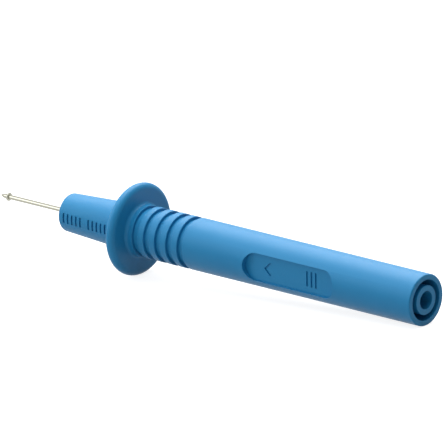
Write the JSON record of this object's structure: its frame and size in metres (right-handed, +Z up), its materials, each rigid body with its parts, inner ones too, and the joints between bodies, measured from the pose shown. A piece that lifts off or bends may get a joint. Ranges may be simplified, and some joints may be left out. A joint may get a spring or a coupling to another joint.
{
  "type": "test probe",
  "caption": "Hand-held test probe with a tapered nose, fine needle, finger guard, ring grip and a shrouded 4 mm socket at the rear.",
  "frame": {"origin": "centre of the safety socket's mouth, in the plane of the rear face", "axes": "+X towards the rear, -Y out of the recess, +Z up. The probe lies on a table on the guard's rim and the rear edge, so its axis climbs 3.2 degrees from the origin towards the needle's point at -X"},
  "size_m": [0.1175, 0.0202, 0.0201],
  "materials": {
    "blue_plastic": "moulded polyamide, fine satin texture",
    "nickel": "turned brass, nickel plated",
    "steel": "turned steel, polished"
  },
  "bodies": {
    "root": {"handle": "blue_plastic", "contact": "nickel", "needle": "steel"}
  },
  "joints": []
}
